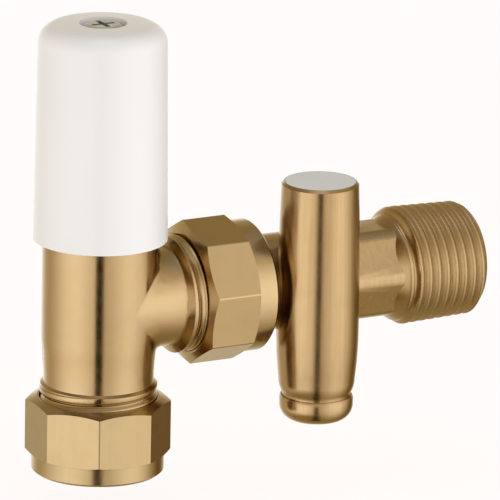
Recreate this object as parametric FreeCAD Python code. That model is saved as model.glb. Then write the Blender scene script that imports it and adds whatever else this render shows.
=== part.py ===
import FreeCAD, Part
import math
import os

# Angle-pattern manual radiator valve with a drain-off union tail, in millimetres.
# The origin is on the pipe axis at the mouth of the inlet nut. +Z runs up the pipe and the
# spindle, and +X runs along the outlet towards the radiator.

# Threads and fits shared by several pieces
thread_diameter = 20.955
thread_clearance = 0.08
thread_lead_in = 0.8
running_clearance = 0.05
bearing_gap = 0.05
edge_break = 0.4
edge_tolerance = 0.01

# Inlet pipe joint
pipe_diameter = 15.0
pipe_clearance = 0.1
pipe_stop_height = 19.0
olive_length = 6.4
olive_band_length = 1.2
olive_wall = 1.0
olive_tip_wall = 0.35

# Octagonal nuts, one on the inlet and one on the union
nut_length = 13.5
nut_wall = 1.52
inlet_nut_collar_length = 3.2
union_nut_collar_length = 3.8
nut_collar_inset = 0.2
nut_rim_width = 0.35
nut_chamfer_angle = 25.0
nut_corner_radius = 0.5
nut_back_wall = 3.2
nut_float = 0.8
inlet_nut_turn = 19.7
union_nut_turn = 8.5

# Valve body
body_diameter = 20.5
body_waist_inset = 0.45
body_waist_height = 18.0
body_taper_drop = 5.9
inlet_thread_top = 15.9
body_top = 49.0
branch_height = 30.5
branch_diameter = 18.0
branch_root_inset = 0.1
branch_thread_start = 13.4
branch_end = 22.65
branch_fillet = 1.2
waterway_diameter = 11.0
chamber_diameter = 16.0
chamber_floor = 22.8
seat_height = 24.2
seat_land_width = 1.2

# Headwork that screws into the top of the body
headwork_thread_diameter = 16.662
headwork_thread_length = 12.0
bonnet_seal_thickness = 0.8
bonnet_hex_inset = 0.5
bonnet_hex_height = 4.0
bonnet_neck_length = 7.0
bonnet_neck_wall = 1.1
stem_diameter = 8.0
spindle_thread_diameter = 10.0
packing_width = 1.3
packing_height = 2.5
gland_nut_across_flats = 13.0
gland_nut_height = 3.5
gland_take_up = 0.4
gland_spigot_length = 2.5

# Spindle, jumper and washer
valve_travel = 4.5
back_seat_gap = 0.3
spindle_thread_length = 11.7
spindle_nose_length = 4.0
drive_across_flats = 6.0
drive_gap = 1.5
drive_length = 11.4
seat_washer_thickness = 3.0
jumper_plate_thickness = 1.8
jumper_stem_diameter = 4.0
jumper_stem_length = 5.5
jumper_stud_diameter = 3.0
washer_nut_across_flats = 5.5
washer_nut_height = 2.0
stud_end_length = 0.5
clip_wire_diameter = 0.7
clip_height_on_stem = 3.5
clip_opening_angle = 50.0

# Wheelhead and its screw
wheelhead_bottom = 42.5
wheelhead_clearance = 0.35
wheelhead_wall = 1.3
wheelhead_draft = 0.5
wheelhead_edge_radius = 3.4
wheelhead_crown = 0.35
wheelhead_web = 1.45
hub_wall = 2.0
rib_count = 6
rib_thickness = 1.2
screw_recess_diameter = 8.6
screw_recess_depth = 2.65
cap_screw_diameter = 4.0
cap_screw_length = 8.5
cap_screw_head_gap = 0.45
cap_screw_head_height = 2.35
cross_slot_length = 4.4
cross_slot_width = 0.9
cross_slot_depth = 1.2

# Union
union_nut_front = 16.35
sleeve_flange_thickness = 2.8
sleeve_flange_lip = 1.1
sleeve_neck_diameter = 17.2
sleeve_neck_end = 30.9
sleeve_spigot_wall = 1.9
sleeve_spigot_length = 2.4
union_cone_angle = 40.0
union_cone_length = 2.4

# Drain tee with the hose barrel and the radiator thread
barrel_gap = 0.75
barrel_top = 50.8
barrel_top_diameter = 13.8
barrel_swell_diameter = 14.7
barrel_swell_height = 23.5
barrel_foot_diameter = 13.7
barrel_foot_height = 14.6
barrel_bottom = 7.1
barrel_rim_chamfer = 0.5
hose_groove_depth = 0.65
hose_groove_drop = 2.6
hose_bead_rise = 0.4
hose_bead_height = 10.4
hose_bead_length = 1.2
hose_lip_length = 0.45
hose_lip_rise = 0.2
hose_end_diameter = 9.6
tee_hex_across_flats = 16.0
tee_hex_chamfer_angle = 30.0
tee_hex_corner_flat = 0.45
tee_hex_corner_radius = 0.8
shoulder_start = 56.8
shoulder_end = 59.0
radiator_end = 73.3
radiator_gauge_length = 8.2
radiator_thread_taper = 1.0 / 16.0
radiator_end_chamfer = 1.1
radiator_bore_diameter = 12.0
radiator_bore_depth = 11.0

# Drain valve inside the barrel
drain_bore_diameter = 10.1
drain_port_depth = 1.55
drain_floor = 22.3
drain_seat_rise = 0.8
drain_seat_width = 1.0
drain_outlet_diameter = 5.2
drain_travel = 2.0
drain_washer_thickness = 2.2
drain_plate_thickness = 1.7
drain_stem_diameter = 6.4
drain_stem_length = 10.5
drain_pin_diameter = 3.2
drain_pin_length = 4.4
drain_clip_height = 2.4
drain_head_length = 6.5
o_ring_section = 1.4
o_ring_groove_land = 0.6
drain_key_across_flats = 5.0
drain_key_depth = 2.6
drain_cap_thickness = 1.3
drain_cap_rim = 0.55
drain_cap_skirt_length = 1.9
drain_cap_skirt_wall = 0.9
drain_cap_dimple_diameter = 1.6
drain_cap_dimple_depth = 0.25

# Sizes that follow from the ones above
thread_r = thread_diameter / 2
nut_bore_r = thread_r + thread_clearance
pipe_bore_r = pipe_diameter / 2 + pipe_clearance
nut_across_flats = thread_diameter + 2 * nut_wall
nut_collar_r = nut_across_flats / 2 - nut_collar_inset
olive_r = pipe_bore_r + olive_wall
olive_tip_r = pipe_bore_r + olive_tip_wall
olive_middle = nut_back_wall + olive_length / 2
inlet_nut_floor = olive_middle - nut_float / 2
body_bottom = olive_middle + nut_float / 2
body_r = body_diameter / 2
body_taper_top = branch_height - body_taper_drop
branch_r = branch_diameter / 2
branch_root_r = body_r - branch_root_inset
waterway_r = waterway_diameter / 2
headwork_bore_r = headwork_thread_diameter / 2 + running_clearance
stem_r = stem_diameter / 2
spindle_thread_r = spindle_thread_diameter / 2
bonnet_bottom = body_top - headwork_thread_length
bonnet_hex_bottom = body_top + bonnet_seal_thickness
bonnet_hex_top = bonnet_hex_bottom + bonnet_hex_height
bonnet_top = bonnet_hex_top + bonnet_neck_length
stuffing_r = stem_r + running_clearance + packing_width
stuffing_floor = bonnet_top - gland_spigot_length - packing_height
washer_top = seat_height + seat_washer_thickness
jumper_top = washer_top + jumper_plate_thickness
spindle_bottom = jumper_top + bearing_gap
spindle_thread_bottom = spindle_bottom + spindle_nose_length
spindle_shoulder = spindle_thread_bottom + spindle_thread_length
back_seat = spindle_shoulder + valve_travel + back_seat_gap
seat_land_r = waterway_r + seat_land_width
seat_washer_r = seat_land_r - running_clearance
gland_nut_bottom = bonnet_top + gland_take_up
gland_nut_top = gland_nut_bottom + gland_nut_height
drive_bottom = gland_nut_top + drive_gap
spindle_top = drive_bottom + drive_length
wheelhead_web_bottom = spindle_top + bearing_gap
recess_floor = wheelhead_web_bottom + wheelhead_web
wheelhead_top = recess_floor + screw_recess_depth
wheelhead_inner_r = body_r + wheelhead_clearance
wheelhead_skirt_r = wheelhead_inner_r + wheelhead_wall
wheelhead_shoulder_r = wheelhead_skirt_r - wheelhead_draft
recess_r = screw_recess_diameter / 2
screw_r = cap_screw_diameter / 2
union_nut_back = union_nut_front + nut_length
sleeve_neck_r = sleeve_neck_diameter / 2
sleeve_flange_r = sleeve_neck_r + sleeve_flange_lip
sleeve_flange_back = union_nut_back - union_nut_collar_length - bearing_gap
sleeve_flange_front = sleeve_flange_back - sleeve_flange_thickness
sleeve_spigot_r = waterway_r + sleeve_spigot_wall
sleeve_end = sleeve_neck_end + sleeve_spigot_length
drain_bore_r = drain_bore_diameter / 2
barrel_along = sleeve_neck_end + barrel_gap + barrel_swell_diameter / 2
barrel_side = waterway_r + drain_bore_r - drain_port_depth
drain_outlet_r = drain_outlet_diameter / 2
drain_seat = drain_floor + drain_seat_rise
drain_plate_bottom = drain_seat + drain_washer_thickness
drain_plate_top = drain_plate_bottom + drain_plate_thickness
drain_spindle_bottom = drain_plate_top + bearing_gap
drain_head_bottom = drain_spindle_bottom + drain_stem_length
drain_spindle_top = drain_head_bottom + drain_head_length
drain_cap_bottom = barrel_top - drain_cap_thickness

ORIGIN = FreeCAD.Vector(0, 0, 0)
Y_AXIS = FreeCAD.Vector(0, 1, 0)
Z_AXIS = FreeCAD.Vector(0, 0, 1)


def at(point):
    """The place of a (radius, height) pair in the half plane that is turned about Z."""
    return FreeCAD.Vector(point[0], 0, point[1])


def lines(points):
    """Straight edges from each (radius, height) point to the next."""
    return [Part.makeLine(at(p), at(q)) for p, q in zip(points, points[1:])]


def arc(start, middle, end):
    """A round edge through three (radius, height) points."""
    return Part.Arc(at(start), at(middle), at(end)).toShape()


def turned_edges(edges):
    """The solid turned about Z from a closed chain of edges."""
    return Part.Face(Part.Wire(edges)).revolve(ORIGIN, Z_AXIS, 360)


def turned(*points):
    """The solid turned about Z from a closed outline of (radius, height) points."""
    return turned_edges(lines(list(points) + [points[0]]))


def rod(radius, bottom, top):
    return Part.makeCylinder(radius, top - bottom, FreeCAD.Vector(0, 0, bottom))


def ring(inner, outer, bottom, top):
    return rod(outer, bottom, top).cut(rod(inner, bottom, top))


def prism(sides, across_flats, bottom, top, turn=0.0, corner_radius=0.0):
    """A regular prism about Z with one corner at the angle turn from +X, rounded if a radius is given."""
    corner_r = across_flats / 2 / math.cos(math.pi / sides)
    corners = []
    for i in range(sides + 1):
        angle = math.radians(turn) + 2 * math.pi * i / sides
        corners.append(FreeCAD.Vector(corner_r * math.cos(angle), corner_r * math.sin(angle), bottom))
    solid = Part.Face(Part.makePolygon(corners)).extrude(FreeCAD.Vector(0, 0, top - bottom))
    if corner_radius:
        upright = [edge for edge in solid.Edges if edge.BoundBox.ZLength > edge_tolerance]
        solid = solid.makeFillet(corner_radius, upright)
    return solid


def moved(shape, x=0.0, y=0.0, z=0.0):
    shape.translate(FreeCAD.Vector(x, y, z))
    return shape


def along_branch(shape):
    """Turns a piece made about Z to lie along +X on the branch axis."""
    shape.rotate(ORIGIN, Y_AXIS, 90)
    return moved(shape, z=branch_height)


def chamfered_prism(sides, across_flats, bottom, top, bottom_r, top_r, angle, turn, corner_radius=0.0):
    """A nut blank whose corners are turned off at both ends down to the given radii."""
    corner_r = across_flats / 2 / math.cos(math.pi / sides) + edge_break
    slope = math.tan(math.radians(angle))
    envelope = turned(
        (0, bottom),
        (bottom_r, bottom),
        (corner_r, bottom + (corner_r - bottom_r) * slope),
        (corner_r, top - (corner_r - top_r) * slope),
        (top_r, top),
        (0, top),
    )
    return prism(sides, across_flats, bottom, top, turn, corner_radius).common(envelope)


def nut_blank(turn, collar_length):
    """The outside of both octagonal nuts: a chamfered octagon on a turned collar, open end up."""
    rim_r = nut_bore_r + nut_rim_width
    block = chamfered_prism(
        8,
        nut_across_flats,
        collar_length,
        nut_length,
        nut_collar_r,
        rim_r,
        nut_chamfer_angle,
        turn,
        nut_corner_radius,
    )
    collar = turned(
        (0, 0),
        (nut_collar_r - edge_break, 0),
        (nut_collar_r, edge_break),
        (nut_collar_r, collar_length),
        (0, collar_length),
    )
    return block.fuse(collar).removeSplitter()


def compression_nut():
    gap = running_clearance
    cavity = turned(
        (0, 0),
        (pipe_bore_r, 0),
        (pipe_bore_r, nut_back_wall - bearing_gap),
        (olive_tip_r + gap, nut_back_wall - bearing_gap),
        (olive_r + gap, olive_middle - olive_band_length / 2),
        (olive_r + gap, inlet_nut_floor),
        (nut_bore_r, inlet_nut_floor),
        (nut_bore_r, nut_length),
        (0, nut_length),
    )
    return nut_blank(inlet_nut_turn, inlet_nut_collar_length).cut(cavity)


def olive():
    """The compression ring: a plain bore and two tapers that meet in a short band."""
    top = nut_back_wall + olive_length
    half_band = olive_band_length / 2
    return turned(
        (pipe_bore_r, nut_back_wall),
        (olive_tip_r, nut_back_wall),
        (olive_r, olive_middle - half_band),
        (olive_r, olive_middle + half_band),
        (olive_tip_r, top),
        (pipe_bore_r, top),
    )


def valve_body():
    """The forged angle body with its inlet thread, branch, seat and headwork socket."""
    waist_r = body_r - body_waist_inset
    upright = turned(
        (0, body_bottom),
        (thread_r - thread_lead_in, body_bottom),
        (thread_r, body_bottom + thread_lead_in),
        (thread_r, inlet_thread_top),
        (waist_r, inlet_thread_top + thread_lead_in / 2),
        (waist_r, body_waist_height),
        (body_r, body_taper_top),
        (body_r, body_top - edge_break),
        (body_r - edge_break, body_top),
        (0, body_top),
    )
    body = upright.fuse(along_branch(smooth_branch()))
    body = body.makeFillet(branch_fillet, branch_root_edges(body))
    union_thread = turned(
        (0, 0),
        (branch_r, 0),
        (branch_r, branch_thread_start - edge_break),
        (thread_r, branch_thread_start + thread_lead_in / 2),
        (thread_r, branch_end - thread_lead_in),
        (thread_r - thread_lead_in, branch_end),
        (0, branch_end),
    )
    body = body.fuse(along_branch(union_thread))
    body = body.cut(inlet_cavity()).cut(headwork_cavity())
    return body.cut(along_branch(branch_cavity())).removeSplitter()


def smooth_branch():
    """The plain length of the branch: as wide as the body where it leaves it, and round at its thread."""
    root = Part.Ellipse(FreeCAD.Vector(0, branch_root_r, 0), FreeCAD.Vector(branch_r, 0, 0), ORIGIN).toShape()
    end = Part.makeCircle(branch_r)
    end.rotate(ORIGIN, Z_AXIS, 90)
    moved(end, z=branch_thread_start)
    return Part.makeLoft([Part.Wire(root), Part.Wire(end)], True)


def branch_root_edges(body):
    """The edges where the branch leaves the upright barrel of the body."""
    root = []
    for edge in body.Edges:
        box = edge.BoundBox
        across = box.YLength > edge_tolerance and box.ZLength > edge_tolerance
        on_body = all(math.hypot(p.x, p.y) < body_r + edge_tolerance for p in edge.discretize(9))
        near = abs((box.ZMin + box.ZMax) / 2 - branch_height) < branch_r and box.XMin > 0
        if across and on_body and near:
            root.append(edge)
    return root


def inlet_cavity():
    """The pipe socket with the olive's cone at its mouth, and the bore up to the seat."""
    gap = running_clearance
    olive_top = nut_back_wall + olive_length
    return turned(
        (0, body_bottom),
        (olive_r + gap, body_bottom),
        (olive_r + gap, olive_middle + olive_band_length / 2),
        (olive_tip_r + gap, olive_top + bearing_gap),
        (pipe_bore_r, olive_top + bearing_gap),
        (pipe_bore_r, pipe_stop_height),
        (waterway_r, pipe_stop_height),
        (waterway_r, seat_height),
        (0, seat_height),
    )


def headwork_cavity():
    """The chamber round the raised seat, and the tapped socket for the headwork."""
    return turned(
        (seat_land_r, seat_height),
        (seat_land_r + edge_break, chamber_floor),
        (chamber_diameter / 2, chamber_floor),
        (chamber_diameter / 2, bonnet_bottom - running_clearance),
        (headwork_bore_r, bonnet_bottom - running_clearance),
        (headwork_bore_r, body_top),
        (0, body_top),
        (0, seat_height),
    )


def branch_cavity():
    """The outlet bore and the cone that the union sleeve seats in, from the chamber outwards."""
    mouth_r = union_cone_radius(branch_end - bearing_gap)
    small_end = sleeve_flange_front - union_cone_length - bearing_gap
    return turned(
        (0, 0),
        (waterway_r, 0),
        (waterway_r, small_end),
        (union_cone_radius(small_end - bearing_gap) + running_clearance, small_end),
        (mouth_r + running_clearance, branch_end),
        (0, branch_end),
    )


def union_cone_radius(along):
    """The radius of the sleeve's nose at a place along the branch."""
    root_r = sleeve_neck_r
    return root_r - (sleeve_flange_front - along) * math.tan(math.radians(union_cone_angle))


def bonnet():
    """The headwork body: thread, hexagon and neck, with a stuffing box in its top."""
    thread_end = headwork_thread_diameter / 2
    hex_corner_r = body_r - bonnet_hex_inset
    hex_across_flats = 2 * hex_corner_r * math.cos(math.pi / 6)
    shank = turned(
        (0, bonnet_bottom),
        (thread_end - edge_break, bonnet_bottom),
        (thread_end, bonnet_bottom + edge_break),
        (thread_end, bonnet_hex_bottom),
        (0, bonnet_hex_bottom),
    )
    flats_r = hex_across_flats / 2
    block = chamfered_prism(
        6, hex_across_flats, bonnet_hex_bottom, bonnet_hex_top, flats_r, flats_r, nut_chamfer_angle, 0
    )
    neck = rod(stuffing_r + bonnet_neck_wall, bonnet_hex_top, bonnet_top)
    bore = turned(
        (0, bonnet_bottom),
        (spindle_thread_r + running_clearance, bonnet_bottom),
        (spindle_thread_r + running_clearance, back_seat),
        (stem_r + running_clearance, back_seat),
        (stem_r + running_clearance, stuffing_floor),
        (stuffing_r, stuffing_floor),
        (stuffing_r, bonnet_top),
        (0, bonnet_top),
    )
    return shank.fuse(block).fuse(neck).cut(bore).removeSplitter()


def bonnet_seal():
    return ring(headwork_bore_r, body_r - edge_break, body_top, bonnet_hex_bottom)


def gland_packing():
    inner = stem_r + running_clearance
    return ring(inner, stuffing_r - running_clearance, stuffing_floor, stuffing_floor + packing_height)


def gland_nut():
    """The hexagon nut whose hollow spigot presses on the packing."""
    flats_r = gland_nut_across_flats / 2
    head = chamfered_prism(
        6, gland_nut_across_flats, gland_nut_bottom, gland_nut_top, flats_r, flats_r, nut_chamfer_angle, 0
    )
    spigot = rod(stuffing_r - running_clearance, stuffing_floor + packing_height, gland_nut_bottom)
    bore = rod(stem_r + running_clearance, stuffing_floor, gland_nut_top)
    return head.fuse(spigot).cut(bore).removeSplitter()


def clip_groove(stem_r_here, height):
    """The round space that a retaining clip takes in a stem and in the socket round it."""
    wire_r = clip_wire_diameter / 2 + running_clearance
    return ring(stem_r_here - wire_r, stem_r_here + wire_r, height - wire_r, height + wire_r)


def retaining_clip(stem_r_here, height):
    """A wire ring with a gap, sprung into the grooves of a stem and its socket."""
    clip = Part.makeTorus(stem_r_here, clip_wire_diameter / 2, ORIGIN, Z_AXIS, 0, 360, 360 - clip_opening_angle)
    return moved(clip, z=height)


def socket(pin_r, bottom, depth):
    """The blind bore in the foot of a spindle that a jumper's pin turns in."""
    return rod(pin_r + running_clearance, bottom, bottom + depth + running_clearance)


def spindle():
    """The rising spindle: socket for the jumper, thread, plain stem and square drive."""
    top_half = turned(
        (0, spindle_bottom),
        (stem_r - edge_break, spindle_bottom),
        (stem_r, spindle_bottom + edge_break),
        (stem_r, spindle_thread_bottom),
        (spindle_thread_r, spindle_thread_bottom + edge_break),
        (spindle_thread_r, spindle_shoulder - edge_break),
        (stem_r, spindle_shoulder),
        (stem_r, drive_bottom),
        (0, drive_bottom),
    )
    square = prism(4, drive_across_flats, drive_bottom, spindle_top, 45)
    drive = square.common(rod(stem_r, drive_bottom, spindle_top))
    tapping = rod(screw_r + running_clearance, recess_floor - cap_screw_length - edge_break, spindle_top)
    pin_r = jumper_stem_diameter / 2
    clip_height = jumper_top + clip_height_on_stem
    shape = top_half.fuse(drive).cut(tapping).cut(socket(pin_r, spindle_bottom, jumper_stem_length))
    return shape.cut(clip_groove(pin_r, clip_height)).removeSplitter()


def jumper():
    """The valve disc: a plate with a pin that swivels in the spindle and a stud for the washer."""
    plate = rod(seat_washer_r, washer_top, jumper_top)
    pin_r = jumper_stem_diameter / 2
    pin = rod(pin_r, jumper_top, jumper_top + jumper_stem_length)
    pin = pin.cut(clip_groove(pin_r, jumper_top + clip_height_on_stem))
    stud_bottom = seat_height - washer_nut_height - stud_end_length
    stud = rod(jumper_stud_diameter / 2, stud_bottom, washer_top)
    return plate.fuse(pin).fuse(stud).removeSplitter()


def jumper_clip():
    return retaining_clip(jumper_stem_diameter / 2, jumper_top + clip_height_on_stem)


def seat_washer():
    return ring(jumper_stud_diameter / 2 + running_clearance, seat_washer_r, seat_height, washer_top)


def washer_nut():
    bottom = seat_height - washer_nut_height
    blank = prism(6, washer_nut_across_flats, bottom, seat_height)
    return blank.cut(rod(jumper_stud_diameter / 2 + running_clearance, bottom, seat_height))


def wheelhead():
    """The moulded cap: a drafted shell with a rounded top, a square hub, ribs and a screw recess."""
    edge = wheelhead_edge_radius
    side_top = wheelhead_top - wheelhead_crown - edge
    diagonal = edge * math.cos(math.radians(45))
    crown_r = wheelhead_shoulder_r - edge
    top_edge = (crown_r, wheelhead_top - wheelhead_crown)
    outline = lines([(0, wheelhead_top), (0, wheelhead_bottom), (wheelhead_skirt_r, wheelhead_bottom)])
    outline += lines([(wheelhead_skirt_r, wheelhead_bottom), (wheelhead_shoulder_r, side_top)])
    corner = (crown_r + diagonal, side_top + diagonal)
    outline.append(arc((wheelhead_shoulder_r, side_top), corner, top_edge))
    crown_middle = (crown_r / 2, wheelhead_top - wheelhead_crown / 4)
    outline.append(arc(top_edge, crown_middle, (0, wheelhead_top)))
    shell = turned_edges(outline)

    inner_top_r = wheelhead_inner_r - wheelhead_draft
    hollow = turned(
        (0, wheelhead_bottom),
        (wheelhead_inner_r, wheelhead_bottom),
        (inner_top_r, wheelhead_web_bottom - wheelhead_wall),
        (inner_top_r - wheelhead_wall, wheelhead_web_bottom),
        (0, wheelhead_web_bottom),
    )
    shell = shell.cut(hollow)

    hub = rod(stem_r + hub_wall, drive_bottom, wheelhead_web_bottom)
    rib = Part.makeBox(
        wheelhead_inner_r,
        rib_thickness,
        wheelhead_web_bottom - drive_bottom,
        FreeCAD.Vector(0, -rib_thickness / 2, drive_bottom),
    )
    core = hub
    for i in range(rib_count):
        spoke = rib.copy()
        spoke.rotate(ORIGIN, Z_AXIS, 360.0 * i / rib_count)
        core = core.fuse(spoke)
    shell = shell.fuse(core.common(hollow))

    fit = running_clearance
    keyway = prism(4, drive_across_flats + 2 * fit, drive_bottom, wheelhead_web_bottom, 45)
    keyway = keyway.common(rod(stem_r + fit, drive_bottom, wheelhead_web_bottom))
    recess = rod(recess_r, recess_floor, wheelhead_top)
    screw_hole = rod(screw_r + running_clearance, wheelhead_web_bottom, recess_floor)
    return shell.cut(keyway).cut(recess).cut(screw_hole).removeSplitter()


def cap_screw():
    """The cross-slotted pan-head screw that holds the wheelhead on the spindle."""
    head_r = recess_r - cap_screw_head_gap
    head_top = recess_floor + cap_screw_head_height
    side_top = recess_floor + cap_screw_head_height / 2
    bulge = (head_r - edge_break, (side_top + head_top) / 2 + edge_break / 2)
    top_r = head_r - cap_screw_head_height / 2 - edge_break
    outline = lines([(0, head_top), (0, recess_floor), (head_r, recess_floor), (head_r, side_top)])
    outline.append(arc((head_r, side_top), bulge, (top_r, head_top)))
    outline += lines([(top_r, head_top), (0, head_top)])
    shank = rod(screw_r, recess_floor - cap_screw_length, recess_floor)
    screw = turned_edges(outline).fuse(shank)
    for size in ((cross_slot_length, cross_slot_width), (cross_slot_width, cross_slot_length)):
        corner = FreeCAD.Vector(-size[0] / 2, -size[1] / 2, head_top - cross_slot_depth)
        screw = screw.cut(Part.makeBox(size[0], size[1], cross_slot_depth, corner))
    return screw.removeSplitter()


def union_nut():
    """The octagonal nut that draws the sleeve's flange onto the branch."""
    web = union_nut_collar_length
    cavity = turned(
        (0, 0),
        (sleeve_neck_r + running_clearance, 0),
        (sleeve_neck_r + running_clearance, web),
        (nut_bore_r, web),
        (nut_bore_r, nut_length),
        (0, nut_length),
    )
    nut = nut_blank(union_nut_turn, union_nut_collar_length).cut(cavity)
    nut.rotate(ORIGIN, Y_AXIS, -90)
    return moved(nut, x=union_nut_back, z=branch_height)


def union_sleeve():
    """The flanged sleeve: a cone that seats in the branch, a neck and a spigot for the tee."""
    nose = sleeve_flange_front - union_cone_length
    sleeve = turned(
        (waterway_r, nose),
        (union_cone_radius(nose), nose),
        (union_cone_radius(sleeve_flange_front), sleeve_flange_front),
        (sleeve_flange_r, sleeve_flange_front),
        (sleeve_flange_r, sleeve_flange_back),
        (sleeve_neck_r, sleeve_flange_back),
        (sleeve_neck_r, sleeve_neck_end - edge_break),
        (sleeve_neck_r - edge_break, sleeve_neck_end),
        (sleeve_spigot_r, sleeve_neck_end),
        (sleeve_spigot_r, sleeve_end),
        (waterway_r, sleeve_end),
    )
    return along_branch(sleeve)


def upright_arc(widest, end):
    """The arc that leaves its widest point upright and bends in to a narrower end."""
    rise = end[1] - widest[1]
    inset = widest[0] - end[0]
    bend_r = (rise * rise + inset * inset) / (2 * inset)
    half_angle = math.asin(rise / bend_r) / 2
    middle_r = widest[0] - bend_r * (1 - math.cos(half_angle))
    return arc(widest, (middle_r, widest[1] + bend_r * math.sin(half_angle)), end)


def on_barrel(shape):
    """Moves a piece made about Z to the drain barrel, which stands beside the waterway."""
    return moved(shape, x=barrel_along, y=-barrel_side)


def barrel():
    """The swelled drain barrel with its rim, hose groove, bead and rounded foot."""
    top_r = barrel_top_diameter / 2
    foot = (barrel_foot_diameter / 2, barrel_foot_height)
    groove_r = foot[0] - hose_groove_depth
    groove_top = (groove_r, barrel_foot_height - hose_groove_drop)
    bead_r = groove_r + hose_bead_rise
    bead_top = (bead_r, hose_bead_height + hose_bead_length / 2)
    bead_foot = (bead_r, hose_bead_height - hose_bead_length / 2)
    lip_height = bead_top[1] + hose_lip_length
    swell = (barrel_swell_diameter / 2, barrel_swell_height)
    swell_top = (top_r, barrel_top - barrel_rim_chamfer)
    end = (hose_end_diameter / 2, barrel_bottom)
    rim = (top_r - barrel_rim_chamfer, barrel_top)
    outline = lines([swell_top, rim, (0, barrel_top), (0, barrel_bottom), end])
    outline.append(upright_arc(bead_foot, end))
    outline += lines(
        [bead_foot, bead_top, (groove_r + hose_lip_rise, lip_height), (groove_r, lip_height), groove_top]
    )
    outline.append(upright_arc(foot, groove_top))
    outline.append(upright_arc(swell, foot))
    outline.append(upright_arc(swell, swell_top))
    return on_barrel(turned_edges(outline))


def radiator_radius(along):
    """The crest radius of the taper thread at a place along the branch."""
    return thread_r + (radiator_end - radiator_gauge_length - along) * radiator_thread_taper / 2


def drain_tee():
    """The one-piece tail: boss, side barrel, hexagon neck, shoulder and taper thread."""
    boss_start = sleeve_neck_end + bearing_gap
    boss = turned(
        (0, boss_start),
        (sleeve_neck_r - edge_break, boss_start),
        (sleeve_neck_r, boss_start + edge_break),
        (sleeve_neck_r, barrel_along),
        (0, barrel_along),
    )
    flats_r = tee_hex_across_flats / 2
    corner_r = flats_r / math.cos(math.pi / 6) - tee_hex_corner_flat
    neck = chamfered_prism(
        6,
        tee_hex_across_flats,
        barrel_along,
        shoulder_end,
        flats_r,
        corner_r,
        tee_hex_chamfer_angle,
        90,
        tee_hex_corner_radius,
    )
    neck = neck.common(rod(corner_r, barrel_along, shoulder_end))
    shoulder_r = radiator_radius(shoulder_end)
    thread_end_r = radiator_radius(radiator_end)
    shoulder_slope = (shoulder_r - corner_r) / (shoulder_end - shoulder_start)
    cone_start = shoulder_start - (corner_r - waterway_r) / shoulder_slope
    tail = turned(
        (0, cone_start),
        (waterway_r, cone_start),
        (shoulder_r, shoulder_end),
        (radiator_radius(radiator_end - radiator_end_chamfer), radiator_end - radiator_end_chamfer),
        (thread_end_r - radiator_end_chamfer, radiator_end),
        (0, radiator_end),
    )
    solid = along_branch(boss.fuse(neck).fuse(tail)).fuse(barrel())
    return solid.cut(tee_waterway()).cut(drain_cavity()).removeSplitter()


def tee_waterway():
    """The sleeve's socket, the through bore and the wider bore at the radiator end."""
    boss_start = sleeve_neck_end + bearing_gap
    socket_r = sleeve_spigot_r + running_clearance
    wide_r = radiator_bore_diameter / 2
    bore = turned(
        (0, boss_start),
        (socket_r, boss_start),
        (socket_r, sleeve_end + bearing_gap),
        (waterway_r, sleeve_end + bearing_gap),
        (waterway_r, radiator_end - radiator_bore_depth),
        (wide_r, radiator_end - radiator_bore_depth),
        (wide_r, radiator_end),
        (0, radiator_end),
    )
    return along_branch(bore)


def drain_cavity():
    """The drain bore from the rim down to the raised seat, and the outlet below it."""
    cap_seat_r = barrel_top_diameter / 2 - drain_cap_rim
    seat_r = drain_outlet_r + drain_seat_width
    bore = turned(
        (0, drain_seat),
        (seat_r, drain_seat),
        (seat_r, drain_floor),
        (drain_bore_r, drain_floor),
        (drain_bore_r, drain_cap_bottom),
        (cap_seat_r, drain_cap_bottom),
        (cap_seat_r, barrel_top),
        (0, barrel_top),
    )
    outlet = rod(drain_outlet_r, barrel_bottom, drain_seat)
    return on_barrel(bore.fuse(outlet))


def drain_washer():
    seat_r = drain_outlet_r + drain_seat_width
    return on_barrel(rod(seat_r, drain_seat, drain_plate_bottom))


def drain_jumper():
    """The drain disc that carries the washer and swivels on a pin in the drain spindle."""
    plate_r = drain_outlet_r + drain_seat_width + edge_break
    pin_r = drain_pin_diameter / 2
    plate = rod(plate_r, drain_plate_bottom, drain_plate_top)
    pin = rod(pin_r, drain_plate_top, drain_plate_top + drain_pin_length)
    pin = pin.cut(clip_groove(pin_r, drain_plate_top + drain_clip_height))
    return on_barrel(plate.fuse(pin).removeSplitter())


def drain_clip():
    return on_barrel(retaining_clip(drain_pin_diameter / 2, drain_plate_top + drain_clip_height))


def drain_spindle():
    """The drain screw: a slim stem, an O-ring groove, a threaded head and a hexagon key socket."""
    head_r = drain_bore_r - running_clearance
    groove_r = head_r - o_ring_section
    groove_bottom = drain_head_bottom + o_ring_groove_land
    groove_top = groove_bottom + o_ring_section + 2 * running_clearance
    screw = turned(
        (0, drain_spindle_bottom),
        (drain_stem_diameter / 2, drain_spindle_bottom),
        (drain_stem_diameter / 2, drain_head_bottom),
        (head_r, drain_head_bottom),
        (head_r, groove_bottom),
        (groove_r, groove_bottom),
        (groove_r, groove_top),
        (head_r, groove_top),
        (head_r, drain_spindle_top - edge_break),
        (head_r - edge_break, drain_spindle_top),
        (0, drain_spindle_top),
    )
    pin_r = drain_pin_diameter / 2
    key = prism(6, drain_key_across_flats, drain_spindle_top - drain_key_depth, drain_spindle_top)
    screw = screw.cut(key).cut(socket(pin_r, drain_spindle_bottom, drain_pin_length))
    screw = screw.cut(clip_groove(pin_r, drain_plate_top + drain_clip_height))
    return on_barrel(screw.removeSplitter())


def drain_o_ring():
    section_r = o_ring_section / 2
    middle_r = drain_bore_r - running_clearance - section_r
    height = drain_head_bottom + o_ring_groove_land + running_clearance + section_r
    return on_barrel(moved(Part.makeTorus(middle_r, section_r), z=height))


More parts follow.
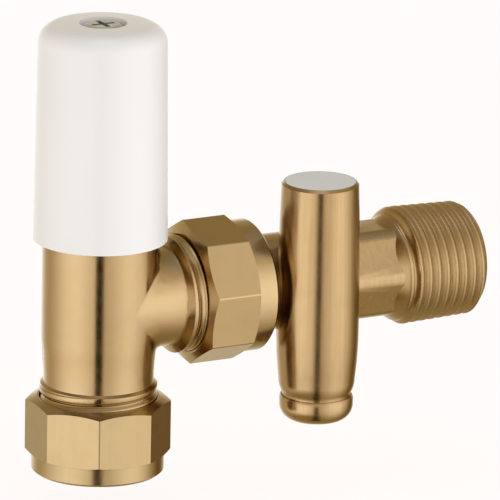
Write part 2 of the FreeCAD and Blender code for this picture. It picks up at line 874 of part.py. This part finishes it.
def drain_cap():
    """The push-in plastic cap: a flush disc with a gate mark and a hollow skirt."""
    disc_r = barrel_top_diameter / 2 - drain_cap_rim - running_clearance
    skirt_r = drain_bore_r - running_clearance
    skirt_bottom = drain_cap_bottom - drain_cap_skirt_length
    dimple_r = drain_cap_dimple_diameter / 2
    cap = turned(
        (0, drain_cap_bottom),
        (skirt_r - drain_cap_skirt_wall, drain_cap_bottom),
        (skirt_r - drain_cap_skirt_wall, skirt_bottom),
        (skirt_r, skirt_bottom),
        (skirt_r, drain_cap_bottom),
        (disc_r, drain_cap_bottom),
        (disc_r, barrel_top),
        (dimple_r, barrel_top),
        (0, barrel_top - drain_cap_dimple_depth),
    )
    return on_barrel(cap)


pieces = {
    "valve_body": valve_body,
    "compression_nut": compression_nut,
    "olive": olive,
    "bonnet": bonnet,
    "bonnet_seal": bonnet_seal,
    "gland_packing": gland_packing,
    "gland_nut": gland_nut,
    "spindle": spindle,
    "jumper": jumper,
    "jumper_clip": jumper_clip,
    "seat_washer": seat_washer,
    "washer_nut": washer_nut,
    "wheelhead": wheelhead,
    "cap_screw": cap_screw,
    "union_nut": union_nut,
    "union_sleeve": union_sleeve,
    "drain_tee": drain_tee,
    "drain_washer": drain_washer,
    "drain_jumper": drain_jumper,
    "drain_clip": drain_clip,
    "drain_spindle": drain_spindle,
    "drain_o_ring": drain_o_ring,
    "drain_cap": drain_cap,
}

os.makedirs("parts", exist_ok=True)
for name, make in pieces.items():
    shape = make()
    shape.exportStep(f"parts/{name}.step")
    box = shape.BoundBox
    print(
        f"{name}: {len(shape.Solids)} solid, valid {shape.isValid()}, {shape.Volume:.1f} mm3, "
        f"z {box.ZMin:.2f} to {box.ZMax:.2f}, x {box.XMin:.2f} to {box.XMax:.2f}"
    )
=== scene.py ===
import math

import bmesh
import bpy
from mathutils import Matrix, Vector


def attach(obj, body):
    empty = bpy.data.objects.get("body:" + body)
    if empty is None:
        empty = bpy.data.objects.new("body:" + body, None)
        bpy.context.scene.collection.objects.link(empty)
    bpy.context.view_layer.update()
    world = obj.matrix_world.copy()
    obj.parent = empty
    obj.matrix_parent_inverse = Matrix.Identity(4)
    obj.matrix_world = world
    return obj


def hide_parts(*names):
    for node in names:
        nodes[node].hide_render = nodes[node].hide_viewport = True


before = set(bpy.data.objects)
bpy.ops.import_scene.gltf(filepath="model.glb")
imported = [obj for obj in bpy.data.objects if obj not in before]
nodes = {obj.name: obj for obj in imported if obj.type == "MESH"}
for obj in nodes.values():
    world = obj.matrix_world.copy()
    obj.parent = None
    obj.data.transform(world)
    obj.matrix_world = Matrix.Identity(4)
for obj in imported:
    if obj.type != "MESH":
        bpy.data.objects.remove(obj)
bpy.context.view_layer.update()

MM = 0.001
X_AXIS, Z_AXIS = 0, 2

# Sizes in millimetres that follow the solids
BRANCH_HEIGHT = 30.5
THREAD_R = 10.4775
THREAD_PITCH = 1.814
RADIATOR_END = 73.3
RADIATOR_GAUGE = 8.2
RADIATOR_TAPER = 1 / 32
SHOULDER_START = 56.8
SHOULDER_END = 59.0
HEX_CORNER_R = 8.79
UNION_THREAD_START = 13.4
BRANCH_END = 22.65
INLET_BOTTOM = 6.8
INLET_THREAD_TOP = 15.9

# The cut threads: lengths in millimetres, fades in turns
THREAD_DEPTH = 0.55
GROOVE_HALF_MOUTH = 0.47 * THREAD_PITCH
GROOVE_PROUD = 0.03
GROOVE_RISE = 0.2
GROOVE_OVERRUN = 1.0
INLET_RUN_OUT, INLET_FADE = 0.3, 0.5
UNION_RUN_IN, UNION_FADE = 0.4, 0.4
RADIATOR_RUN_IN, RADIATOR_FADE = 0.2, 0.6

# Where a groove has faded: the shares of its mouth and depth that are left
FADED_MOUTH = 0.3
FADED_DEPTH = 0.02

# How finely the grooves are made, and how the meshes are joined and shaded
STEPS_PER_TURN = 60
GROOVE_SPANS = 8
WELD_DISTANCE = 1e-6
SHARP_ANGLE = math.radians(32)

# The photograph's view: degrees, millimetres and pixels
VIEW_ANGLE = 27.8
VIEW_HEIGHT = 16.0
VIEW_ROLL = 1.05
VIEW_DISTANCE = 1500.0
PIXELS_PER_MM = 5.66
FRAME_PIXELS = 500
SENSOR_MM = 36.0
AIM_RIGHT = 26.43
AIM_UP = 9.85
CLIP_END_M = 100.0

collection = bpy.context.scene.collection


def link(name, mesh):
    """A new object of the scene for a mesh in the row frame."""
    obj = bpy.data.objects.new(name, mesh)
    collection.objects.link(obj)
    return obj


# Threads

def closed_mesh(name, points, faces, weld=False):
    """A mesh with its faces turned outwards and, if asked, its coinciding points joined."""
    mesh = bpy.data.meshes.new(name)
    mesh.from_pydata(points, [], faces)
    bm = bmesh.new()
    bm.from_mesh(mesh)
    if weld:
        bmesh.ops.remove_doubles(bm, verts=bm.verts, dist=WELD_DISTANCE)
    bmesh.ops.recalc_face_normals(bm, faces=bm.faces)
    bm.to_mesh(mesh)
    bm.free()
    return mesh


def groove_section(depth):
    """A groove's outline as (lift above the crest, shift along the axis), for a depth from 0 to 1."""
    mouth = GROOVE_HALF_MOUTH * (FADED_MOUTH + (1 - FADED_MOUTH) * depth)
    top = GROOVE_PROUD + GROOVE_RISE
    section = [(top, mouth), (top, 0.0), (top, -mouth)]
    for j in range(GROOVE_SPANS + 1):
        across = 2 * j / GROOVE_SPANS - 1
        dip = (THREAD_DEPTH * depth + GROOVE_PROUD) * math.cos(math.pi / 2 * across) ** 2
        section.append((GROOVE_PROUD - dip, mouth * across))
    return section


def thread_groove(name, crest, start, end, fade_in=0.0, fade_out=0.0):
    """A right-hand helical groove as a solid about Z, to be cut from a thread's crest envelope.

    crest gives the crest radius along the axis, and the groove fades over the given turns at each end."""
    turns = (end - start) / THREAD_PITCH
    count = int(turns * STEPS_PER_TURN)
    points = []
    for i in range(count + 1):
        turn = i / STEPS_PER_TURN
        along = start + turn * THREAD_PITCH
        depth = 1.0
        if fade_in:
            depth = min(depth, turn / fade_in)
        if fade_out:
            depth = min(depth, (turns - turn) / fade_out)
        section = groove_section(max(depth, FADED_DEPTH))
        angle = 2 * math.pi * turn
        for lift, shift in section:
            radius = crest(along + shift) + lift
            point = (radius * math.cos(angle), radius * math.sin(angle), along + shift)
            points.append([value * MM for value in point])
    corners = len(section)
    faces = [tuple(range(corners))]
    for i in range(count):
        for j in range(corners):
            a, b = corners * i + j, corners * i + (j + 1) % corners
            faces.append((a, b, b + corners, a + corners))
    faces.append(tuple(corners * count + j for j in range(corners)))
    return closed_mesh(name, points, faces)


def welded_copy(node, name):
    """A closed copy of a CAD node's mesh, to be worked on and shown instead of the node."""
    source = nodes[node].data
    points = [v.co[:] for v in source.vertices]
    faces = [tuple(p.vertices) for p in source.polygons]
    return link(name, closed_mesh(name, points, faces, weld=True))


def cut_threads(obj, grooves):
    """Cuts each groove mesh out of obj and shades the result smooth up to its sharp edges."""
    cutters = []
    for mesh in grooves:
        cutter = link(mesh.name, mesh)
        cutters.append(cutter)
        cut = obj.modifiers.new(mesh.name, "BOOLEAN")
        cut.operation = "DIFFERENCE"
        cut.solver = "EXACT"
        cut.object = cutter
    bpy.context.view_layer.update()
    graph = bpy.context.evaluated_depsgraph_get()
    mesh = bpy.data.meshes.new_from_object(obj.evaluated_get(graph))
    obj.modifiers.clear()
    obj.data = mesh
    for cutter in cutters:
        bpy.data.objects.remove(cutter)
    mesh.materials.clear()
    mesh.shade_smooth()
    mesh.set_sharp_from_angle(angle=SHARP_ANGLE)


def on_branch(mesh):
    """Turns a mesh made about Z to lie along +X on the branch axis."""
    place = Matrix.Translation((0, 0, BRANCH_HEIGHT * MM)) @ Matrix.Rotation(math.radians(90), 4, "Y")
    mesh.transform(place)
    return mesh


def radiator_crest(along):
    """The crest of the taper thread, and of the shoulder that its first turn runs out on."""
    taper_r = THREAD_R + (RADIATOR_END - RADIATOR_GAUGE - along) * RADIATOR_TAPER
    shoulder_part = (along - SHOULDER_START) / (SHOULDER_END - SHOULDER_START)
    shoulder_r = HEX_CORNER_R + (taper_r - HEX_CORNER_R) * shoulder_part
    return min(taper_r, shoulder_r)


def parallel_crest(along):
    """The crest of the inlet and union threads, the same all along."""
    return THREAD_R


inlet_groove = thread_groove(
    "inlet_groove", parallel_crest,
    INLET_BOTTOM - GROOVE_OVERRUN, INLET_THREAD_TOP + INLET_RUN_OUT, fade_out=INLET_FADE,
)
union_groove = on_branch(thread_groove(
    "union_groove", parallel_crest,
    UNION_THREAD_START + UNION_RUN_IN, BRANCH_END + GROOVE_OVERRUN, fade_in=UNION_FADE,
))
radiator_groove = on_branch(thread_groove(
    "radiator_groove", radiator_crest,
    SHOULDER_START + RADIATOR_RUN_IN, RADIATOR_END + GROOVE_OVERRUN, fade_in=RADIATOR_FADE,
))

body = welded_copy("valve_body", "valve_body_threaded")
cut_threads(body, [inlet_groove, union_groove])
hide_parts("valve_body")
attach(body, "valve")

tail = welded_copy("drain_tee", "drain_tail_threaded")
cut_threads(tail, [radiator_groove])
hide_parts("drain_tee")
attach(tail, "tail")


# Materials

# Linear colours of the brass pieces
BRASS_TONE = (0.4345, 0.3015, 0.148)
NUT_TONE = (0.428, 0.3085, 0.149)
UNION_TONE = (0.46, 0.327, 0.159)
TAIL_TONE = (0.4405, 0.3005, 0.1437)
THREAD_TONE = (0.474, 0.329, 0.156)

# How brass varies: shares of its colour, and roughness below and above the mean
DARK_TINT = (0.93, 0.93, 0.93)
RED_TINT = (0.99, 0.965, 0.92)
STREAK_TINT = (0.9, 0.89, 0.87)
NO_TINT = (1.0, 1.0, 1.0)
MOTTLE_STOPS = (0.32, 0.5, 0.68)
STREAK_STOPS = (0.3, 0.7)
BRASS_DULLER, BRASS_BRIGHTER = 0.035, 0.025

# Grains per metre of the noise in brass, and the depth of its bumps in millimetres
MOTTLE_GRAIN = 90.0
POLISH_GRAIN = 420.0
FINE_GRAIN = 5200.0
LATHE_ALONG, LATHE_ROUND = 5200.0, 25.0
DRAW_ACROSS, DRAW_ALONG = 1400.0, 30.0
FINE_DEPTH = 0.0008
LATHE_DEPTH, FORGED_LATHE_DEPTH = 0.0015, 0.0006
DRAW_DEPTH = 0.002
NUT_STREAK = 0.35

# Plastic, rubber, fibre, packing and steel
PLASTIC_IOR = 1.5
PLASTIC_CLOUD = (70.0, 70.0, 45.0)
PLASTIC_POLISH = (160.0, 160.0, 90.0)
PLASTIC_SKIN = 1300.0
PLASTIC_DULLER, PLASTIC_BRIGHTER = 0.03, 0.02
PLASTIC_POLISH_RANGE = (0.1, 0.9)
CLOUD_STOPS = (0.35, 0.65)
GRAINS_PER_CLOUD = 6
PLAIN_VARIATION = 0.05


def fill_ramp(ramp, stops):
    """Gives a new colour ramp its (place, linear colour) stops."""
    while len(ramp.elements) < len(stops):
        ramp.elements.new(0.5)
    for element, (place, colour) in zip(ramp.elements, stops):
        element.position = place
        element.color = (*colour, 1.0)


def even(grain):
    """The same grains per metre on all three axes."""
    return (grain, grain, grain)


def tinted(tone, tint):
    return tuple(value * share for value, share in zip(tone, tint))


class Shader:
    """A material built from nodes, with short calls to add and join them."""

    def __init__(self, name):
        self.material = bpy.data.materials.new(name)
        self.material.use_nodes = True
        self.tree = self.material.node_tree
        self.surface = self.tree.nodes["Principled BSDF"]
        self.coords = self.add("ShaderNodeTexCoord").outputs["Object"]

    def add(self, kind, **settings):
        node = self.tree.nodes.new(kind)
        for key, value in settings.items():
            setattr(node, key, value)
        return node

    def join(self, output, socket):
        self.tree.links.new(output, socket)

    def noise(self, stretch, detail=3.0, roughness=0.5):
        """Noise whose grains per metre are given for each axis."""
        mapping = self.add("ShaderNodeMapping")
        mapping.inputs["Scale"].default_value = stretch
        self.join(self.coords, mapping.inputs["Vector"])
        noise = self.add("ShaderNodeTexNoise")
        noise.inputs["Scale"].default_value = 1.0
        noise.inputs["Detail"].default_value = detail
        noise.inputs["Roughness"].default_value = roughness
        self.join(mapping.outputs["Vector"], noise.inputs["Vector"])
        return noise.outputs["Fac"]

    def ramp(self, factor, places, colours):
        """A colour ramp with a linear colour at each place."""
        ramp = self.add("ShaderNodeValToRGB")
        fill_ramp(ramp.color_ramp, list(zip(places, colours)))
        self.join(factor, ramp.inputs["Fac"])
        return ramp.outputs["Color"]

    def spread(self, factor, low, high, start=0.3, end=0.7):
        """A value that runs from low to high as the factor runs from start to end."""
        spread = self.add("ShaderNodeMapRange")
        spread.inputs["From Min"].default_value = start
        spread.inputs["From Max"].default_value = end
        spread.inputs["To Min"].default_value = low
        spread.inputs["To Max"].default_value = high
        self.join(factor, spread.inputs["Value"])
        return spread.outputs["Result"]

    def bump(self, height, depth_mm, under=None):
        """A bumped normal, on top of another one if that is given."""
        bump = self.add("ShaderNodeBump")
        bump.inputs["Strength"].default_value = 1.0
        bump.inputs["Distance"].default_value = depth_mm * MM
        self.join(height, bump.inputs["Height"])
        if under is not None:
            self.join(under, bump.inputs["Normal"])
        return bump.outputs["Normal"]

    def tint(self, colour, tint, share):
        """A colour multiplied by a share of a tint."""
        mix = self.add("ShaderNodeMixRGB", blend_type="MULTIPLY")
        mix.inputs["Fac"].default_value = share
        self.join(colour, mix.inputs["Color1"])
        self.join(tint, mix.inputs["Color2"])
        return mix.outputs["Color"]

    def finish(self, colour, roughness, normal):
        self.join(colour, self.surface.inputs["Base Color"])
        self.join(roughness, self.surface.inputs["Roughness"])
        self.join(normal, self.surface.inputs["Normal"])
        return self.material


def brass(name, tone, rough, lathe_axis=None, lathe_depth=LATHE_DEPTH, draw_axis=None, streak=1.0):
    """Satin brass: mottled colour, uneven polish and fine grain.

    Turned pieces have fine lathe lines round lathe_axis. Drawn or polished ones have faint streaks
    along draw_axis."""
    shader = Shader(name)
    shader.surface.inputs["Metallic"].default_value = 1.0
    mottle = shader.noise(even(MOTTLE_GRAIN), detail=4.0, roughness=0.55)
    tones = (tinted(tone, DARK_TINT), tone, tinted(tone, RED_TINT))
    colour = shader.ramp(mottle, MOTTLE_STOPS, tones)
    polish = shader.noise(even(POLISH_GRAIN), detail=5.0, roughness=0.6)
    roughness = shader.spread(polish, rough - BRASS_BRIGHTER, rough + BRASS_DULLER)
    normal = shader.bump(shader.noise(even(FINE_GRAIN), detail=2.0), FINE_DEPTH)
    if lathe_axis is not None:
        stretch = [LATHE_ROUND] * 3
        stretch[lathe_axis] = LATHE_ALONG
        lines = shader.noise(stretch, detail=3.0, roughness=0.65)
        normal = shader.bump(lines, lathe_depth, under=normal)
    if draw_axis is not None:
        stretch = [DRAW_ACROSS] * 3
        stretch[draw_axis] = DRAW_ALONG
        streaks = shader.noise(stretch, detail=2.0, roughness=0.6)
        normal = shader.bump(streaks, DRAW_DEPTH * streak, under=normal)
        colour = shader.tint(colour, shader.ramp(streaks, STREAK_STOPS, (STREAK_TINT, NO_TINT)), streak)
    return shader.finish(colour, roughness, normal)


def plastic(name, tone, shade, rough, skin_mm):
    """Moulded plastic: a faint cloud in its colour, uneven gloss and a fine orange-peel skin."""
    shader = Shader(name)
    shader.surface.inputs["IOR"].default_value = PLASTIC_IOR
    colour = shader.ramp(shader.noise(PLASTIC_CLOUD), CLOUD_STOPS, (tone, shade))
    polish = shader.noise(PLASTIC_POLISH, detail=1.0)
    roughness = shader.spread(
        polish, rough - PLASTIC_BRIGHTER, rough + PLASTIC_DULLER, *PLASTIC_POLISH_RANGE
    )
    return shader.finish(colour, roughness, shader.bump(shader.noise(even(PLASTIC_SKIN)), skin_mm))


def plain(name, tone, shade, rough, grain, depth_mm, metallic=0.0):
    """Rubber, fibre, packing and plated steel: two tones and a fine grain."""
    shader = Shader(name)
    shader.surface.inputs["Metallic"].default_value = metallic
    cloud = shader.noise(even(grain / GRAINS_PER_CLOUD), detail=4.0)
    colour = shader.ramp(cloud, CLOUD_STOPS, (tone, shade))
    roughness = shader.spread(cloud, rough - PLAIN_VARIATION, rough + PLAIN_VARIATION)
    return shader.finish(colour, roughness, shader.bump(shader.noise(even(grain)), depth_mm))


forged = brass("brass_forged", BRASS_TONE, rough=0.17, lathe_axis=Z_AXIS, lathe_depth=FORGED_LATHE_DEPTH)
turned_upright = brass(
    "brass_turned_upright", NUT_TONE, rough=0.2, lathe_axis=Z_AXIS, draw_axis=Z_AXIS, streak=NUT_STREAK
)
turned_along = brass("brass_turned_along", UNION_TONE, rough=0.2, lathe_axis=X_AXIS)
tail_brass = brass("brass_tail", TAIL_TONE, rough=0.23, draw_axis=Z_AXIS)
thread_brass = brass("brass_thread", THREAD_TONE, rough=0.44, lathe_axis=X_AXIS)
inner_brass = brass("brass_inner", BRASS_TONE, rough=0.26, lathe_axis=Z_AXIS)
white = plastic(
    "plastic_white", tone=(0.875, 0.873, 0.882), shade=(0.855, 0.853, 0.86), rough=0.3, skin_mm=0.0008
)
cap_white = plastic(
    "plastic_cap", tone=(0.73, 0.77, 0.82), shade=(0.7, 0.74, 0.785), rough=0.38, skin_mm=0.0025
)
steel = plain(
    "steel_plated", tone=(0.6, 0.63, 0.68), shade=(0.68, 0.71, 0.76),
    rough=0.34, grain=3000, depth_mm=0.001, metallic=1.0,
)
rubber = plain(
    "rubber_black", tone=(0.016, 0.016, 0.017), shade=(0.028, 0.027, 0.027),
    rough=0.6, grain=2500, depth_mm=0.006,
)
fibre = plain(
    "fibre_red", tone=(0.2, 0.045, 0.03), shade=(0.27, 0.075, 0.05),
    rough=0.7, grain=2200, depth_mm=0.012,
)
packing = plain(
    "packing_white", tone=(0.78, 0.77, 0.75), shade=(0.7, 0.69, 0.67),
    rough=0.5, grain=2200, depth_mm=0.006,
)

looks = {
    "compression_nut": turned_upright,
    "union_nut": turned_along,
    "union_sleeve": turned_along,
    "olive": inner_brass,
    "bonnet": inner_brass,
    "gland_nut": inner_brass,
    "spindle": inner_brass,
    "jumper": inner_brass,
    "washer_nut": inner_brass,
    "drain_jumper": inner_brass,
    "drain_spindle": inner_brass,
    "wheelhead": white,
    "drain_cap": cap_white,
    "cap_screw": steel,
    "jumper_clip": steel,
    "drain_clip": steel,
    "seat_washer": rubber,
    "drain_washer": rubber,
    "drain_o_ring": rubber,
    "bonnet_seal": fibre,
    "gland_packing": packing,
}
for node, material in looks.items():
    mesh = nodes[node].data
    mesh.materials.clear()
    mesh.materials.append(material)
body.data.materials.append(forged)

# The tail's second material, duller, is on its thread
tail.data.materials.append(tail_brass)
tail.data.materials.append(thread_brass)
for polygon in tail.data.polygons:
    polygon.material_index = int(polygon.center.x > SHOULDER_END * MM)


# Camera

def view_axes():
    """The photograph's level and rising directions, and its right, up and back after the roll."""
    turn, height, roll = (math.radians(v) for v in (VIEW_ANGLE, VIEW_HEIGHT, VIEW_ROLL))
    level = Vector((math.cos(turn), -math.sin(turn), 0))
    rise = Vector((math.sin(turn) * math.sin(height), math.cos(turn) * math.sin(height), math.cos(height)))
    right = level * math.cos(roll) + rise * math.sin(roll)
    up = rise * math.cos(roll) - level * math.sin(roll)
    return level, rise, right, up, right.cross(up)


level, rise, right, up, back = view_axes()
aim = (Vector((0, 0, BRANCH_HEIGHT)) + level * AIM_RIGHT + rise * AIM_UP) * MM
camera_data = bpy.data.cameras.new("camera")
camera_data.sensor_width = SENSOR_MM
camera_data.lens = PIXELS_PER_MM * VIEW_DISTANCE * SENSOR_MM / FRAME_PIXELS
camera_data.clip_end = CLIP_END_M
camera = bpy.data.objects.new("camera", camera_data)
camera.matrix_world = Matrix.Translation(aim + back * VIEW_DISTANCE * MM) @ Matrix(
    (right, up, back)
).transposed().to_4x4()
collection.objects.link(camera)
bpy.context.scene.camera = camera


# Floor, low enough for the inlet nut to drop off its thread

FLOOR_HALF_M = 6.0
FLOOR_DROP = 7.6
FLOOR_TONE = (0.12, 0.117, 0.112, 1)
FLOOR_GLOW = (1.0, 0.972, 0.965, 1)
FLOOR_GLOW_STRENGTH = 0.925

floor_mesh = bpy.data.meshes.new("floor")
floor_signs = ((-1, -1), (1, -1), (1, 1), (-1, 1))
floor_corners = [(x * FLOOR_HALF_M, y * FLOOR_HALF_M, 0) for x, y in floor_signs]
floor_mesh.from_pydata(floor_corners, [], [(0, 1, 2, 3)])
floor = link("floor", floor_mesh)
floor.location.z = -FLOOR_DROP * MM
floor.visible_glossy = False
floor.visible_diffuse = False
paper = bpy.data.materials.new("floor_paper")
paper.use_nodes = True
paper_surface = paper.node_tree.nodes["Principled BSDF"]
paper_surface.inputs["Base Color"].default_value = FLOOR_TONE
paper_surface.inputs["Roughness"].default_value = 1.0
paper_surface.inputs["Specular IOR Level"].default_value = 0.0
paper_surface.inputs["Emission Color"].default_value = FLOOR_GLOW
paper_surface.inputs["Emission Strength"].default_value = FLOOR_GLOW_STRENGTH
floor_mesh.materials.append(paper)


# Studio light: large soft boxes, as a function of direction

LIGHT_STRENGTH = 2.21
AMBIENT = 0.2

# Sines of the heights between which a light fades
LEFT_BOTTOM = (-0.8, -0.43)
LEFT_TOP = (-0.08, 0.78)
BACKDROP_TOP = (0.0, 0.3)
GAP_TOP = (-0.1, 0.25)
COOL_TOP = (0.7, 1.0)

# The share that the backdrop loses towards its top
BACKDROP_LOSS = 0.65

# The dark gap in front, between the boxes: the way across it in degrees, and the sines of its edges
GAP_ACROSS = 91.5
GAP_EDGES = (0.09, 0.17)

# The light's colour by its strength, warm where it is dim
WARMTH_STOPS = [
    (0.0, (0.906, 0.46, 0.06)),
    (0.25, (0.906, 0.755, 0.43)),
    (0.6, (0.906, 0.874, 0.854)),
    (0.95, (0.906, 0.924, 1.0)),
]

world = bpy.data.worlds.new("studio")
bpy.context.scene.world = world
world.use_nodes = True
tree = world.node_tree
background = tree.nodes["Background"]
direction = tree.nodes.new("ShaderNodeTexCoord").outputs["Generated"]


def light_direction(side, height):
    """A direction given by its angle to the right of the camera and above the horizon, in degrees."""
    side, height = math.radians(side), math.radians(height)
    front = Vector((back.x, back.y, 0)).normalized()
    flat = front * math.cos(side) + level * math.sin(side)
    return flat * math.cos(height) + Vector((0, 0, math.sin(height)))


def math_node(operation, *values):
    """A math node on numbers or other nodes' values."""
    node = tree.nodes.new("ShaderNodeMath")
    node.operation = operation
    for socket, value in zip(node.inputs, values):
        if isinstance(value, (int, float)):
            socket.default_value = value
        else:
            tree.links.new(value, socket)
    return node.outputs["Value"]


def product(first, second):
    return math_node("MULTIPLY", first, second)


def inverse(value):
    return math_node("SUBTRACT", 1.0, value)


def total(*values):
    result = values[0]
    for value in values[1:]:
        result = math_node("ADD", result, value)
    return result


def facing(axis):
    """The cosine between the looked-at direction and an axis."""
    dot = tree.nodes.new("ShaderNodeVectorMath")
    dot.operation = "DOT_PRODUCT"
    tree.links.new(direction, dot.inputs[0])
    dot.inputs[1].default_value = axis
    return dot.outputs["Value"]


def step(value, low, high):
    """A smooth step from 0 at low to 1 at high."""
    node = tree.nodes.new("ShaderNodeMapRange")
    node.interpolation_type = "SMOOTHSTEP"
    node.inputs["From Min"].default_value = low
    node.inputs["From Max"].default_value = high
    tree.links.new(value, node.inputs["Value"])
    return node.outputs["Result"]


def soft_box(side, height, strength, falloff):
    """A large soft light that fades away from its centre."""
    spot = math_node("POWER", math_node("MAXIMUM", facing(light_direction(side, height)), 0.0), falloff)
    return product(spot, strength)


sky = facing((0, 0, 1))
left_band = product(step(sky, *LEFT_BOTTOM), inverse(step(sky, *LEFT_TOP)))
left_box = product(soft_box(side=-50, height=0, strength=0.78, falloff=1.9), left_band)
right_box = soft_box(side=63, height=0, strength=0.75, falloff=2.7)
backdrop_part = inverse(product(step(sky, *BACKDROP_TOP), BACKDROP_LOSS))
backdrop = product(soft_box(side=-168, height=-6, strength=0.46, falloff=4.0), backdrop_part)
rear_right_flag = soft_box(side=134, height=-20, strength=-0.17, falloff=6.0)
overhead = soft_box(side=0, height=90, strength=0.9, falloff=30.0)
table = soft_box(side=0, height=-90, strength=0.06, falloff=1.5)
surround = total(left_box, right_box, backdrop, rear_right_flag, overhead, table, AMBIENT)

beside_gap = step(math_node("ABSOLUTE", facing(light_direction(GAP_ACROSS, 0))), *GAP_EDGES)
behind = math_node("LESS_THAN", facing(light_direction(0, 0)), 0.0)
above_gap = step(sky, *GAP_TOP)
outside_gap = math_node("MAXIMUM", math_node("MAXIMUM", beside_gap, behind), above_gap)
lit = product(surround, outside_gap)
tree.links.new(product(lit, LIGHT_STRENGTH), background.inputs["Strength"])

warmth = tree.nodes.new("ShaderNodeValToRGB")
fill_ramp(warmth.color_ramp, WARMTH_STOPS)
tree.links.new(math_node("ADD", lit, step(sky, *COOL_TOP)), warmth.inputs["Fac"])
tree.links.new(warmth.outputs["Color"], background.inputs["Color"])

view = bpy.context.scene.view_settings
view.view_transform = "Standard"
view.look = "None"
